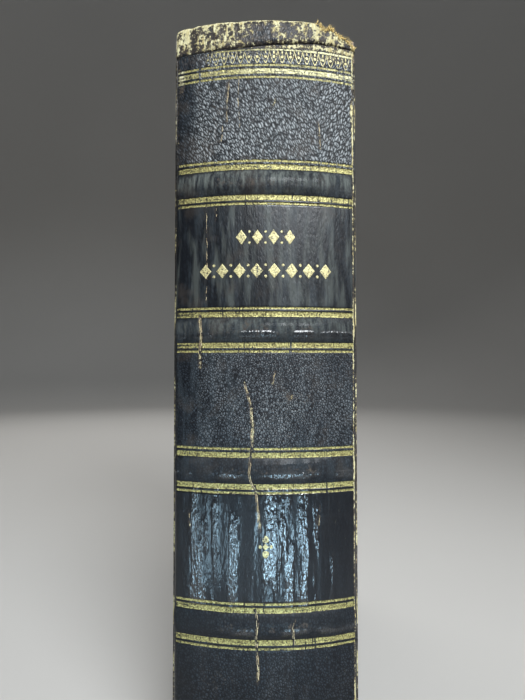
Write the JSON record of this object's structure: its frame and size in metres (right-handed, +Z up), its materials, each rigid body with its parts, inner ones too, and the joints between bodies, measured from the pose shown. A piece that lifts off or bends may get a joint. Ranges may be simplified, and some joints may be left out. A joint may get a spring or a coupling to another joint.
{
  "type": "antique leather book",
  "caption": "Upright half-leather bound book with rounded spine, raised bands and gilt rules; both covers open on hinges at the joints",
  "frame": {"origin": "middle of the footprint, on the surface that the tail edges stand on", "axes": "+Z up from tail to head, -Y out of the spine, +Y out of the fore-edge, +X out of the front cover"},
  "size_m": [0.0624, 0.1792, 0.256],
  "materials": {
    "leather": "worn grained leather, rubbed to tan at the edges",
    "gilding": "rubbed gold leaf",
    "pages": "aged, trimmed edges",
    "endpaper": "aged plain paper",
    "hemp": "twisted hemp cord",
    "linen": "open weave, glued",
    "endband": "striped silk over a core",
    "card": "plain",
    "board": "grey-brown pulp board",
    "cloth": "dark ribbed book cloth, rubbed"
  },
  "bodies": {
    "book_block": {"text_block": "pages", "front_flyleaf": "endpaper", "back_flyleaf": "endpaper", "sewing_cord_1": "hemp", "sewing_cord_2": "hemp", "sewing_cord_3": "hemp", "sewing_cord_4": "hemp", "sewing_cord_5": "hemp", "spine_lining": "linen", "head_endband": "endband", "tail_endband": "endband", "spine_card": "card", "band_core_1": "card", "band_core_2": "card", "band_core_3": "card", "band_core_4": "card", "spine_leather": "leather", "gilt_rules": "gilding", "gilt_head_border": "gilding", "gilt_tail_border": "gilding", "gilt_title_ornament": "gilding", "gilt_fleuron": "gilding"},
    "front_cover": {"front_board": "board", "front_leather": "leather", "front_head_corner": "leather", "front_tail_corner": "leather", "front_cloth": "cloth", "front_pastedown": "endpaper"},
    "back_cover": {"back_board": "board", "back_leather": "leather", "back_head_corner": "leather", "back_tail_corner": "leather", "back_cloth": "cloth", "back_pastedown": "endpaper"}
  },
  "joints": [
    {"name": "front_cover_hinge", "type": "hinge", "parent": "book_block", "child": "front_cover", "pos_m": [0.0314, -0.07735, 0], "axis": [0, 0, -1], "range_deg": [0, 180]},
    {"name": "back_cover_hinge", "type": "hinge", "parent": "book_block", "child": "back_cover", "pos_m": [-0.0314, -0.07735, 0], "axis": [0, 0, 1], "range_deg": [0, 180]}
  ]
}
